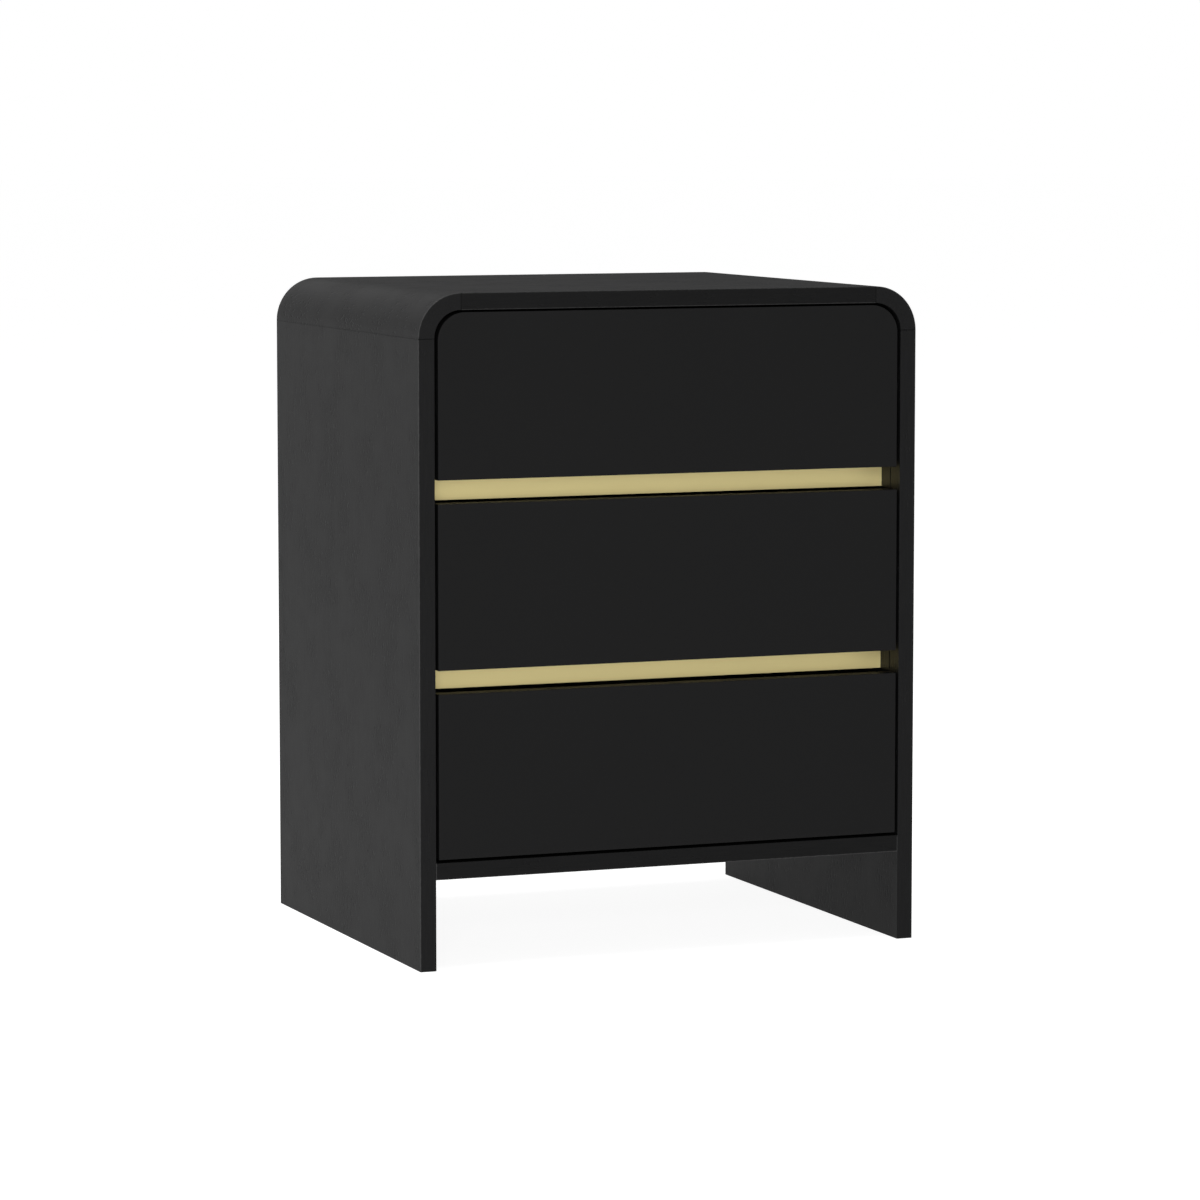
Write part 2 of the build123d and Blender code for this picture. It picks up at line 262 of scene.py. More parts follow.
def foil_material(name, grain, tone=1.0):
    """Black foil with its grain along an axis: returns what its last touches build on."""
    material, tree, shader, place = new_material(name, specular=FOIL_GLOSS)
    wood = add_group(tree, wood_grain, Place=place, Stretch=GRAIN_ALONG[grain], Pores=1.0)
    dark = [part * tone for part in FOIL_DARK]
    light = [part * tone for part in FOIL_LIGHT]
    colour = add_mix(tree, wood["Tone"], dark, light)
    sheen = add_step(tree, wood["Cloud"], 0.3, 0.7, *FOIL_ROUGHNESS)
    tree.links.new(sheen, shader.inputs["Roughness"])
    add_bump(tree, shader, wood["Height"], **FOIL_RELIEF)
    return material, tree, shader, place, colour, sheen


def block_edge_wear_and_highlight(tree, place, colour, low, high, wear_and_highlight=FOIL_EDGE_HIGHLIGHT):
    """Lightens the edges of a block: a painted highlight on the foil, rubbed wear on melamine."""
    gaps = add_group(tree, block_gaps, Place=place, Low_Corner=low, High_Corner=high)["Gaps"]
    mask = add_group(tree, edge_wear_and_highlight, Place=place, Gaps=gaps, Width=EDGE_WEAR_AND_HIGHLIGHT_WIDTH)["Mask"]
    return add_mix(tree, mask, colour, wear_and_highlight)


bend_low, bend_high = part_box("right_corner_bend")
bend_axis_x = bend_low.x
bend_axis_z = bend_low.z
bend_radius = bend_high.x - bend_axis_x
above_reach = Vector((0, 0, OUT_OF_REACH))
inner_face_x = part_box("bottom_panel")[1].x
inner_floor_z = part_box("bottom_panel")[1].z
INNER_SHEEN = 0.75
INNER_FACE_BLEND = (0.0002, 0.0006)


def side_material(side):
    """Side foil: upright grain, painted highlight on the outer edges, a joint line, a smoother inner
    face.
    """
    material, tree, shader, place, colour, sheen = foil_material(f"{side} foil", "Z")
    low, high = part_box(side)
    low.x = min(low.x, 0.0)
    high.x = max(high.x, 0.0)
    # Painted highlight along the outer edges of the side.
    colour = block_edge_wear_and_highlight(tree, place, colour, low, high + above_reach)
    x, _, z = add_split(tree, place)
    colour = add_joint_shadow(tree, colour, add_math(tree, "SUBTRACT", z, bend_axis_z))
    tree.links.new(colour, shader.inputs["Base Color"])
    depth = add_math(tree, "SUBTRACT", add_math(tree, "ABSOLUTE", x), inner_face_x)
    inward = add_step(tree, depth, *INNER_FACE_BLEND, 1.0, 0.0)
    inside = add_math(tree, "MULTIPLY", inward, add_math(tree, "GREATER_THAN", z, inner_floor_z))
    smoothing = add_step(tree, inside, 0.0, 1.0, 1.0, INNER_SHEEN)
    tree.links.new(add_math(tree, "MULTIPLY", sheen, smoothing), shader.inputs["Roughness"])
    return material


for hand in ("left", "right"):
    finish(f"{hand}_side_panel", side_material(f"{hand}_side_panel"))

# ---------------------------------------------------------------- corner bends
# A quarter turn of moulded fibreboard joins each side to the top. It is wrapped in the
# same foil with the grain along its length, and glued to its neighbours over dowels.


def bend_material(bend):
    """Bend foil: grain along the bend, a painted highlight along the front and back arcs, a joint
    line at each end.
    """
    material, tree, shader, place, colour, _ = foil_material(f"{bend} foil", "Y")
    x, y, z = add_split(tree, place)
    out = add_math(tree, "SUBTRACT", add_math(tree, "ABSOLUTE", x), bend_axis_x)
    up = add_math(tree, "SUBTRACT", z, bend_axis_z)
    squares = [add_math(tree, "MULTIPLY", part, part) for part in (out, up)]
    radius = add_math(tree, "SQRT", add_math(tree, "ADD", *squares))
    gaps = tree.nodes.new("ShaderNodeCombineXYZ")
    plug(tree, gaps.inputs[0], add_math(tree, "SUBTRACT", bend_radius, radius))
    from_middle = add_math(tree, "ABSOLUTE", y)
    plug(tree, gaps.inputs[1], add_math(tree, "SUBTRACT", bend_high.y, from_middle))
    plug(tree, gaps.inputs[2], 1.0)
    # Painted highlight along the outer front and back arcs.
    mask = add_group(tree, edge_wear_and_highlight, Place=place, Gaps=gaps.outputs[0], Width=EDGE_WEAR_AND_HIGHLIGHT_WIDTH)["Mask"]
    colour = add_mix(tree, mask, colour, FOIL_EDGE_HIGHLIGHT)
    colour = add_joint_shadow(tree, colour, add_math(tree, "MINIMUM", out, up))
    tree.links.new(colour, shader.inputs["Base Color"])
    return material


for hand in ("left", "right"):
    finish(f"{hand}_corner_bend", bend_material(f"{hand}_corner_bend"))

# ---------------------------------------------------------------- top panel
# The flat of the top is 15 mm board with its grain running across the case. It meets
# the bends in two fine joint lines, held by dowels and glue. Its front edge is darker.

PANEL_TONE = 0.62


def top_material():
    """Top foil: grain across, a painted highlight along the front and back edges, a joint line at
    each end.
    """
    material, tree, shader, place, colour, _ = foil_material("top foil", "X")
    low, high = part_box("top_panel")
    beyond = Vector((OUT_OF_REACH, 0, 0))
    # Painted highlight along the front and back edges.
    colour = block_edge_wear_and_highlight(tree, place, colour, low - beyond, high + beyond)
    x, y, _ = add_split(tree, place)
    reach = add_math(tree, "SUBTRACT", add_math(tree, "ABSOLUTE", x), bend_axis_x)
    colour = add_joint_shadow(tree, colour, reach)
    behind_front = add_step(tree, y, low.y + 0.0002, low.y + 0.0006, 0.0, 1.0)
    shaded = add_vector_math(tree, "MULTIPLY", colour, (PANEL_TONE, PANEL_TONE, PANEL_TONE))
    tree.links.new(add_mix(tree, behind_front, shaded, colour), shader.inputs["Base Color"])
    return material


finish("top_panel", top_material())

# ---------------------------------------------------------------- corner dowels
# Beech dowels, 6 mm thick and 24 mm long, are glued across both joints of each bend.
# Like all the dowels they are turned from straight-grained beech.


def beech_material():
    """Bare beech: pale grain along X with darker flecks."""
    material, tree, shader, place = new_material("beech", specular=0.3)
    wood = add_group(tree, wood_grain, Place=place, Stretch=GRAIN_ALONG["X"], Pores=0.6)
    colour = add_mix(tree, wood["Tone"], (0.36, 0.21, 0.105), (0.60, 0.41, 0.235))
    colour = add_mix(tree, add_step(tree, wood["Cloud"], 0.55, 0.75), colour, (0.50, 0.31, 0.165))
    tree.links.new(colour, shader.inputs["Base Color"])
    tree.links.new(add_step(tree, wood["Tone"], 0.0, 1.0, 0.68, 0.55), shader.inputs["Roughness"])
    add_bump(tree, shader, wood["Height"], **FOIL_RELIEF)
    return material


beech = beech_material()
finish("corner_dowels", beech)

# ---------------------------------------------------------------- bottom panel
# A plain 15 mm board between the sides, flush with their front edges. Dowels place it,
# and cams in its underside draw it tight on bolts that are screwed into the sides.


def panel_material(node):
    """Foil of a board inside the case: grain across, a painted highlight on all but its upper edges.
    """
    material, tree, shader, place, colour, _ = foil_material(f"{node} foil", "X", PANEL_TONE)
    low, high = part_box(node)
    # Painted highlight along all but the upper edges.
    colour = block_edge_wear_and_highlight(tree, place, colour, low, high + above_reach)
    tree.links.new(colour, shader.inputs["Base Color"])
    return material


finish("bottom_panel", panel_material("bottom_panel"))
finish("bottom_panel_dowels", beech)


def metal_skin_group():
    """The skin of a metal: fine streaks, slow stains and small pits."""
    group, ins, outs = new_group(
        "metal skin",
        [
            ("Place", "NodeSocketVector", (0, 0, 0)),
            ("Stretch", "NodeSocketVector", (1, 1, 1)),
            ("Grit", "NodeSocketFloat", 900.0),
        ],
        [("Streak", "NodeSocketFloat"), ("Stain", "NodeSocketFloat"), ("Pit", "NodeSocketFloat")],
    )
    stretched = add_vector_math(group, "MULTIPLY", ins.outputs["Place"], ins.outputs["Stretch"])
    streak = add_noise(group, stretched, 1.0, 5.0, 0.65)
    stain = add_noise(group, ins.outputs["Place"], 70.0, 4.0, 0.6)
    scaled = group.nodes.new("ShaderNodeTexNoise")
    scaled.inputs["Detail"].default_value = 2.0
    group.links.new(ins.outputs["Place"], scaled.inputs["Vector"])
    group.links.new(ins.outputs["Grit"], scaled.inputs["Scale"])
    pit = add_step(group, scaled.outputs["Fac"], 0.6, 0.72)
    for label, value in (("Streak", streak), ("Stain", stain), ("Pit", pit)):
        group.links.new(value, outs.inputs[label])
    return group


metal_skin = metal_skin_group()


def metal_material(name, dark, light, stained, roughness, stretch=(500, 500, 500), pitting=0.2):
    """Bare or plated metal with streaks, a stain that dulls it and pits in its surface."""
    material, tree, shader, place = new_material(name, metallic=1.0)
    skin = add_group(tree, metal_skin, Place=place, Stretch=stretch)
    colour = add_mix(tree, skin["Streak"], dark, light)
    stain = add_step(tree, skin["Stain"], 0.52, 0.74)
    tree.links.new(add_mix(tree, stain, colour, stained), shader.inputs["Base Color"])
    dull = add_math(tree, "MULTIPLY", add_math(tree, "ADD", stain, skin["Pit"]), 0.07)
    sheen = add_step(tree, skin["Streak"], 0.3, 0.7, *roughness)
    tree.links.new(add_math(tree, "ADD", sheen, dull), shader.inputs["Roughness"])
    height = add_math(tree, "SUBTRACT", add_math(tree, "MULTIPLY", skin["Streak"], 0.4), skin["Pit"])
    add_bump(tree, shader, height, pitting, 0.0001)
    return material


cast_zinc = metal_material(
    "cast zinc", (0.36, 0.36, 0.37), (0.48, 0.48, 0.49), (0.28, 0.28, 0.28), (0.38, 0.5), pitting=0.5
)
plated_steel = metal_material(
    "zinc-plated steel", (0.46, 0.47, 0.49), (0.60, 0.61, 0.63), (0.47, 0.45, 0.40), (0.24, 0.36)
)
finish("bottom_panel_cams", cast_zinc)
finish("bottom_panel_cam_bolts", plated_steel)

# ---------------------------------------------------------------- back panel
# A 4 mm sheet of hardboard, sprayed black on both faces, slides into grooves round the
# case from above before the top goes on. The fibres still show through the paint.


def hardboard_material(name, dark, light):
    """Painted hardboard: fibres and bundles of fibres under a patchy coat of paint."""
    material, tree, shader, place = new_material(name, specular=0.25)
    fibres = add_noise(tree, place, 420.0, 6.0, 0.72)
    flattened = add_vector_math(tree, "MULTIPLY", place, (210, 210, 520))
    bundles = add_noise(tree, flattened, 1.0, 3.0, 0.6)
    patches = add_noise(tree, place, 14.0, 3.0, 0.5)
    tones = [add_step(tree, fibres, 0.3, 0.7), add_step(tree, bundles, 0.2, 0.8)]
    tone = add_math(tree, "MULTIPLY", *tones)
    tree.links.new(add_mix(tree, tone, dark, light), shader.inputs["Base Color"])
    tree.links.new(add_step(tree, patches, 0.3, 0.7, 0.56, 0.7), shader.inputs["Roughness"])
    add_bump(tree, shader, add_math(tree, "ADD", fibres, bundles), 0.35, 0.0003)
    return material


painted_hardboard = hardboard_material(
    "painted hardboard", (0.006, 0.006, 0.0062), (0.014, 0.014, 0.0142)
)
finish("back_panel", painted_hardboard)

# ---------------------------------------------------------------- divider rails
# Behind each finger gap a rail of the same board ties the sides together, held at each
# end by a dowel. It closes the gap off from the drawers behind it.

for level in ("lower", "upper"):
    finish(f"{level}_divider_rail", panel_material(f"{level}_divider_rail"))
finish("rail_dowels", beech)

# ---------------------------------------------------------------- gold strips
# A strip of satin gold-coloured aluminium, 0.8 mm thick, is stuck on the face of each
# rail. It is brushed along its length, so the light spreads up and down it.

GOLD_DARK = (0.80, 0.678, 0.308)
GOLD_LIGHT = (0.86, 0.732, 0.338)


def gold_material():
    """Satin gold: a metal skin with its fine streaks drawn out along the strip."""
    material, tree, shader, place = new_material("satin gold", metallic=0.3)
    skin = add_group(tree, metal_skin, Place=place, Stretch=(12, 2500, 2500), Grit=1600.0)
    colour = add_mix(tree, skin["Streak"], GOLD_DARK, GOLD_LIGHT)
    tree.links.new(colour, shader.inputs["Base Color"])
    tree.links.new(add_step(tree, skin["Streak"], 0.3, 0.7, 0.42, 0.48), shader.inputs["Roughness"])
    add_bump(tree, shader, skin["Streak"], 0.06, 0.0001)
    return material


satin_gold = gold_material()
for level in ("lower", "upper"):
    finish(f"{level}_gold_strip", satin_gold)

# ---------------------------------------------------------------- drawer slides
# Each drawer hangs on two ball-bearing slides 350 mm long, rolled from zinc-plated
# strip in three sections: one screwed to the case, one between, one on the drawer box.

rolled_steel = metal_material(
    "rolled slide steel", (0.44, 0.45, 0.47), (0.57, 0.58, 0.60), (0.44, 0.43, 0.39), (0.26, 0.38),
    stretch=(2200, 18, 2200),
)
LEVELS = ("bottom", "middle", "top")
for level in LEVELS:
    for hand in ("left", "right"):
        for section in ("outer", "intermediate", "inner"):
            finish(f"{level}_{hand}_slide_{section}", rolled_steel)

# ---------------------------------------------------------------- balls and cages
# Rows of 2.7 mm steel balls run above and below, between each two sections of a slide.
# A cage folded from thin strip keeps them apart, with a window for every ball, and
# rolls along with the middle section.

STRIP = 0.0005
BALL_RADIUS = 0.00135
BALL_PITCH = 0.013
BALLS_IN_ROW = 11
CAGE_MARGIN = 0.008
CAGE_CLEARANCE = 0.0002
SHARP_ANGLE = math.radians(35)


def new_tree(name, inputs):
    """An empty geometry node tree with named inputs, its input sockets and its end."""
    tree = bpy.data.node_groups.new(name, "GeometryNodeTree")
    tree.is_modifier = True
    tree.interface.new_socket("Geometry", in_out="INPUT", socket_type="NodeSocketGeometry")
    for label, kind, value in inputs:
        socket = tree.interface.new_socket(label, in_out="INPUT", socket_type=kind)
        if value is not None:
            socket.default_value = value
    tree.interface.new_socket("Geometry", in_out="OUTPUT", socket_type="NodeSocketGeometry")
    return tree, tree.nodes.new("NodeGroupInput").outputs, tree.nodes.new("NodeGroupOutput")


def add_node(tree, kind, settings=None, **values):
    """A geometry node's first output: settings are its own choices, values its sockets."""
    node = tree.nodes.new(kind)
    for label, value in (settings or {}).items():
        setattr(node, label, value)
    for label, value in values.items():
        plug(tree, node.inputs[label.replace("_", " ")], value)
    return node.outputs[0]


def add_sum(tree, first, *others):
    """The sum of two or more sockets or numbers."""
    for other in others:
        first = add_math(tree, "ADD", first, other)
    return first


def add_times(tree, first, second):
    return add_math(tree, "MULTIPLY", first, second)


def add_xyz(tree, x=0.0, y=0.0, z=0.0):
    """A vector from three sockets or numbers."""
    return add_node(tree, "ShaderNodeCombineXYZ", X=x, Y=y, Z=z)


def add_join(tree, *parts):
    node = tree.nodes.new("GeometryNodeJoinGeometry")
    for part in parts:
        tree.links.new(part, node.inputs[0])
    return node.outputs[0]


def add_bar(tree, size, place):
    """A straight-edged bar of a size, with its middle at a place."""
    bar = add_node(tree, "GeometryNodeMeshCube", Size=size)
    return add_node(tree, "GeometryNodeTransform", Geometry=bar, Translation=place)


def add_row(tree, count, pitch, part):
    """A part repeated along Y, with the middle of the row at the origin."""
    half = add_times(tree, add_times(tree, pitch, add_sum(tree, count, -1.0)), -0.5)
    points = add_node(
        tree, "GeometryNodeMeshLine", {"mode": "OFFSET"},
        Count=count, Start_Location=add_xyz(tree, y=half), Offset=add_xyz(tree, y=pitch),
    )
    return add_node(tree, "GeometryNodeInstanceOnPoints", Points=points, Instance=part)


def add_end(tree, ins, out, part, material):
    """Sets the part on every point, turned as the point says, and makes it real."""
    turn = add_node(
        tree, "GeometryNodeInputNamedAttribute", {"data_type": "FLOAT_VECTOR"}, Name="turn"
    )
    turn = add_node(tree, "FunctionNodeEulerToRotation", Euler=turn)
    shape = add_node(
        tree, "GeometryNodeInstanceOnPoints", Points=ins["Geometry"], Instance=part, Rotation=turn
    )
    shape = add_node(tree, "GeometryNodeRealizeInstances", Geometry=shape)
    shape = add_node(tree, "GeometryNodeSetMaterial", Geometry=shape, Material=material)
    tree.links.new(shape, out.inputs[0])


def ball_tree(material):
    """An upper and a lower row of balls at each point."""
    tree, ins, out = new_tree(
        "ball rows",
        [
            ("Balls", "NodeSocketInt", BALLS_IN_ROW),
            ("Pitch", "NodeSocketFloat", BALL_PITCH),
            ("Radius", "NodeSocketFloat", BALL_RADIUS),
            ("Row Height", "NodeSocketFloat", 0.02),
        ],
    )
    ball = add_node(tree, "GeometryNodeMeshIcoSphere", Radius=ins["Radius"], Subdivisions=2)
    row = add_row(tree, ins["Balls"], ins["Pitch"], ball)
    rows = [
        add_node(
            tree, "GeometryNodeTransform", Geometry=row,
            Translation=add_xyz(tree, z=add_times(tree, ins["Row Height"], sign)),
        )
        for sign in (-1.0, 1.0)
    ]
    add_end(tree, ins, out, add_join(tree, *rows), material)
    return tree


def cage_tree(material):
    """A folded strip at each point: a web, and a ladder of windows along each row."""
    tree, ins, out = new_tree(
        "ball cage",
        [
            ("Balls", "NodeSocketInt", BALLS_IN_ROW),
            ("Pitch", "NodeSocketFloat", BALL_PITCH),
            ("Radius", "NodeSocketFloat", BALL_RADIUS),
            ("Row Height", "NodeSocketFloat", 0.02),
            ("Strip", "NodeSocketFloat", STRIP),
            ("Margin", "NodeSocketFloat", CAGE_MARGIN),
            ("Reach", "NodeSocketFloat", 0.0034),
        ],
    )
    strip, pitch = ins["Strip"], ins["Pitch"]
    gaps = add_sum(tree, ins["Balls"], -1.0)
    length = add_sum(tree, add_times(tree, pitch, gaps), add_times(tree, ins["Margin"], 2.0))
    window = add_sum(tree, ins["Radius"], CAGE_CLEARANCE)
    edge = add_sum(tree, window, strip)
    edge_middle = add_sum(tree, window, add_times(tree, strip, 0.5))
    rung_width = add_times(tree, window, 2.0)
    rung_length = add_sum(tree, pitch, add_times(tree, rung_width, -1.0))
    flange_width = add_math(tree, "SUBTRACT", ins["Reach"], edge)
    flange_middle = add_sum(tree, edge, add_times(tree, flange_width, 0.5))
    rail = add_xyz(tree, strip, length, strip)
    far_place = add_xyz(tree, add_times(tree, edge_middle, -1.0))
    far_rail = add_bar(tree, rail, far_place)
    near_rail = add_bar(tree, rail, add_xyz(tree, edge_middle))
    flange_size = add_xyz(tree, flange_width, length, strip)
    flange = add_bar(tree, flange_size, add_xyz(tree, flange_middle))
    rung_size = add_xyz(tree, rung_width, rung_length, strip)
    rung = add_node(tree, "GeometryNodeMeshCube", Size=rung_size)
    rungs = add_row(tree, gaps, pitch, rung)
    ladder = add_join(tree, far_rail, near_rail, flange, rungs)
    ladders = [
        add_node(
            tree, "GeometryNodeTransform", Geometry=ladder,
            Translation=add_xyz(tree, z=add_times(tree, ins["Row Height"], sign)),
        )
        for sign in (-1.0, 1.0)
    ]
    web_height = add_sum(tree, add_times(tree, ins["Row Height"], 2.0), strip)
    web_place = add_sum(tree, ins["Reach"], add_times(tree, strip, 0.5))
    web = add_bar(tree, add_xyz(tree, strip, length, web_height), add_xyz(tree, web_place))
    add_end(tree, ins, out, add_join(tree, *ladders, web), material)
    return tree


def grown(name, places, tree, body, slot, **sizes):
    """Runs a tree on points, each with its turn, and keeps the result as one plain piece."""
    start = bpy.data.meshes.new(name + "_points")
    start.from_pydata([place for place, turn in places], [], [])
    turns = start.attributes.new("turn", "FLOAT_VECTOR", "POINT")
    for spot, (place, turn) in zip(turns.data, places):
        spot.vector = turn
    seed = bpy.data.objects.new(name + "_points", start)
    bpy.context.scene.collection.objects.link(seed)
    modifier = seed.modifiers.new("grow", "NODES")
    modifier.node_group = tree
    for item in tree.interface.items_tree:
        label = item.name.replace(" ", "_")
        if item.in_out == "INPUT" and label in sizes:
            modifier[item.identifier] = sizes[label]
    evaluated = seed.evaluated_get(bpy.context.evaluated_depsgraph_get())
    mesh = bpy.data.meshes.new_from_object(evaluated)
    seed.modifiers.remove(modifier)
    bpy.data.objects.remove(seed)
    mesh.name = name
    mesh.shade_smooth()
    mesh.set_sharp_from_angle(angle=SHARP_ANGLE)
    piece = bpy.data.objects.new(name, mesh)
    bpy.context.scene.collection.objects.link(piece)
    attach(piece, body)
    return piece


polished_steel = metal_material(
    "polished ball steel", (0.55, 0.56, 0.58), (0.66, 0.67, 0.69), (0.5, 0.49, 0.46), (0.08, 0.16),
    pitting=0.05,
)
cage_steel = metal_material(
    "bright cage strip", (0.52, 0.51, 0.47), (0.66, 0.64, 0.58), (0.46, 0.43, 0.36), (0.22, 0.34),
    stretch=(2200, 40, 2200),
)
balls_on_points = ball_tree(polished_steel)
cages_on_points = cage_tree(cage_steel)
TURNS = {"left": (0.0, 0.0, math.pi), "right": (0.0, 0.0, 0.0)}
STEEL_SHEET = 0.0012
SIGNS = {"left": -1, "right": 1}


def between_sections(level, outside, inside):
    """The middle of the running gap between two sections: its height over their middle."""
    outside_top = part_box(f"{level}_right_slide_{outside}")[1].z
    inside_low, inside_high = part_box(f"{level}_right_slide_{inside}")
    height = (outside_top - STEEL_SHEET + inside_high.z) / 2
    return height - (inside_low.z + inside_high.z) / 2


OUTER_ROW_INSET = 0.0075
INNER_ROW_INSET = 0.0088
OUTER_CAGE_REACH = 0.0034
INNER_CAGE_REACH = 0.00265
for level in LEVELS:
    low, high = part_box(f"{level}_right_slide_intermediate")
    middle = (low + high) / 2
    quarter = (high.y - low.y) / 4
    case_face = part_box(f"{level}_right_slide_outer")[1].x
    body = f"{level}_slide_intermediates"
    for name, sections, inset, y, reach in (
        ("outer", ("outer", "intermediate"), OUTER_ROW_INSET, middle.y + quarter, OUTER_CAGE_REACH),
        ("inner", ("intermediate", "inner"), INNER_ROW_INSET, middle.y - quarter, INNER_CAGE_REACH),
    ):
        x = case_face - inset
        places = [((sign * x, y, middle.z), TURNS[hand]) for hand, sign in SIGNS.items()]
        row = between_sections(level, *sections)
        grown(f"{level}_{name}_balls", places, balls_on_points, body, "slide_steel", Row_Height=row)
        grown(
            f"{level}_{name}_cages", places, cages_on_points, body, "slide_steel",
            Row_Height=row, Reach=reach,
        )

# ---------------------------------------------------------------- slide screws
# Pan-head screws 10 mm long, zinc-plated, with a cross recess. Three go through the
# case section of each slide into the side panel.

MERGE_DISTANCE = 0.000002


def turned_blank(name, outline, steps=28):
    """A solid turned about Z from an outline of (radius, height) points, pole to pole."""
    work = bmesh.new()
    line = [work.verts.new((radius, 0, height)) for radius, height in outline]
    edges = [work.edges.new(ends) for ends in zip(line, line[1:])]
    bmesh.ops.spin(
        work, geom=line + edges, cent=(0, 0, 0), axis=(0, 0, 1), angle=math.tau, steps=steps
    )
    bmesh.ops.remove_doubles(work, verts=work.verts, dist=MERGE_DISTANCE)
    bmesh.ops.recalc_face_normals(work, faces=work.faces)
    mesh = bpy.data.meshes.new(name)
    work.to_mesh(mesh)
    work.free()
    blank = bpy.data.objects.new(name, mesh)
    bpy.context.scene.collection.objects.link(blank)
    return blank


def screw_tree(material):
    """A screw at each point: a turned blank with a cross cut in its head and a thread."""
    tree, ins, out = new_tree(
        "cross-head screw",
        [
            ("Blank", "NodeSocketObject", None),
            ("Thread Start", "NodeSocketFloat", 0.001),
            ("Thread Length", "NodeSocketFloat", 0.006),
            ("Thread Radius", "NodeSocketFloat", 0.00143),
            ("Thread Depth", "NodeSocketFloat", 0.0003),
            ("Pitch", "NodeSocketFloat", 0.0013),
            ("Recess Place", "NodeSocketFloat", 0.0),
            ("Recess Span", "NodeSocketFloat", 0.0038),
            ("Recess Width", "NodeSocketFloat", 0.0009),
            ("Recess Depth", "NodeSocketFloat", 0.001),
        ],
    )
    blank = tree.nodes.new("GeometryNodeObjectInfo")
    tree.links.new(ins["Blank"], blank.inputs["Object"])
    depth = add_times(tree, ins["Recess Depth"], 2.0)
    place = add_xyz(tree, z=ins["Recess Place"])
    first = add_bar(tree, add_xyz(tree, ins["Recess Span"], ins["Recess Width"], depth), place)
    second = add_bar(tree, add_xyz(tree, ins["Recess Width"], ins["Recess Span"], depth), place)
    cut = tree.nodes.new("GeometryNodeMeshBoolean")
    cut.operation = "DIFFERENCE"
    cut.solver = "EXACT"
    tree.links.new(blank.outputs["Geometry"], cut.inputs["Mesh 1"])
    tree.links.new(first, cut.inputs["Mesh 2"])
    tree.links.new(second, cut.inputs["Mesh 2"])
    helix = add_node(
        tree, "GeometryNodeCurveSpiral", Resolution=16,
        Rotations=add_math(tree, "DIVIDE", ins["Thread Length"], ins["Pitch"]),
        Start_Radius=ins["Thread Radius"], End_Radius=ins["Thread Radius"],
        Height=ins["Thread Length"],
    )
    ridge = add_node(
        tree, "GeometryNodeCurvePrimitiveCircle", Resolution=3, Radius=ins["Thread Depth"]
    )
    thread = add_node(
        tree, "GeometryNodeCurveToMesh", Curve=helix, Profile_Curve=ridge, Fill_Caps=True
    )
    start = add_xyz(tree, z=ins["Thread Start"])
    thread = add_node(tree, "GeometryNodeTransform", Geometry=thread, Translation=start)
    add_end(tree, ins, out, add_join(tree, cut.outputs[0], thread), material)
    return tree


SCREW_CORE = 0.0013
PAN_RADIUS = 0.0034
PAN_HEIGHT = 0.0019
PAN_LENGTH = 0.010
PAN_TIP = 0.0075
rounding = 0.6 * PAN_HEIGHT
pan_arc = [
    (PAN_RADIUS - rounding * (1 - math.sin(turn)), rounding * (1 - math.cos(turn)) - PAN_HEIGHT)
    for turn in (math.radians(15 * step) for step in range(7))
]
pan_blank = turned_blank(
    "pan_blank",
    [
        (0, -PAN_HEIGHT), *pan_arc, (PAN_RADIUS, 0), (SCREW_CORE, 0), (SCREW_CORE, PAN_TIP),
        (0, PAN_LENGTH),
    ],
)
screws_on_points = screw_tree(plated_steel)
PAN_SIZES = {"Blank": pan_blank, "Recess_Place": -PAN_HEIGHT}
SCREW_PLACES = (0.035, 0.175, 0.315)
OUTWARD = {"left": (0.0, -math.pi / 2, 0.0), "right": (0.0, math.pi / 2, 0.0)}
INWARD = {"left": OUTWARD["right"], "right": OUTWARD["left"]}


def slide_screw_places(section, level, hand):
    """Where the screws of a slide's section have the undersides of their heads."""
    low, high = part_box(f"{level}_{hand}_slide_{section}")
    web = high.x if (hand == "right") == (section == "outer") else low.x
    into_slide = -SIGNS[hand] if section == "outer" else SIGNS[hand]
    x = web + into_slide * STEEL_SHEET
    turn = OUTWARD[hand] if section == "outer" else INWARD[hand]
    return [((x, low.y + y, (low.z + high.z) / 2), turn) for y in SCREW_PLACES]


case_places = [
    spot for level in LEVELS for hand in SIGNS for spot in slide_screw_places("outer", level, hand)
]
case_screws = grown(
    "case_pan_screws", case_places, screws_on_points, "case", "fastener_steel", **PAN_SIZES
)
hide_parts("case_slide_screws")

# ---------------------------------------------------------------- drawer fronts
# Each front is 16 mm fibreboard sprayed with matt black lacquer on every face. The top
# one has its upper corners rounded to follow the case.

LACQUER_DARK = (0.0047, 0.0047, 0.0048)
LACQUER_LIGHT = (0.0053, 0.0053, 0.0054)
LACQUER_ROUGHNESS = (0.54, 0.57)


def lacquer_material():
    """Sprayed lacquer: almost even, with a fine orange peel and a few specks of dust."""
    material, tree, shader, place = new_material("sprayed lacquer", specular=FOIL_GLOSS)
    peel = add_noise(tree, place, 650.0, 2.0, 0.4)
    drift = add_noise(tree, place, 11.0, 2.0, 0.5)
    specks = add_step(tree, add_noise(tree, place, 1500.0, 1.0), 0.80, 0.84)
    tree.links.new(add_mix(tree, drift, LACQUER_DARK, LACQUER_LIGHT), shader.inputs["Base Color"])
    sheen = add_step(tree, drift, 0.3, 0.7, *LACQUER_ROUGHNESS)
    tree.links.new(sheen, shader.inputs["Roughness"])
    add_bump(tree, shader, add_math(tree, "ADD", peel, specks), 0.06, 0.0001)
    return material


lacquer = lacquer_material()
for level in LEVELS:
    finish(f"{level}_drawer_front", lacquer)

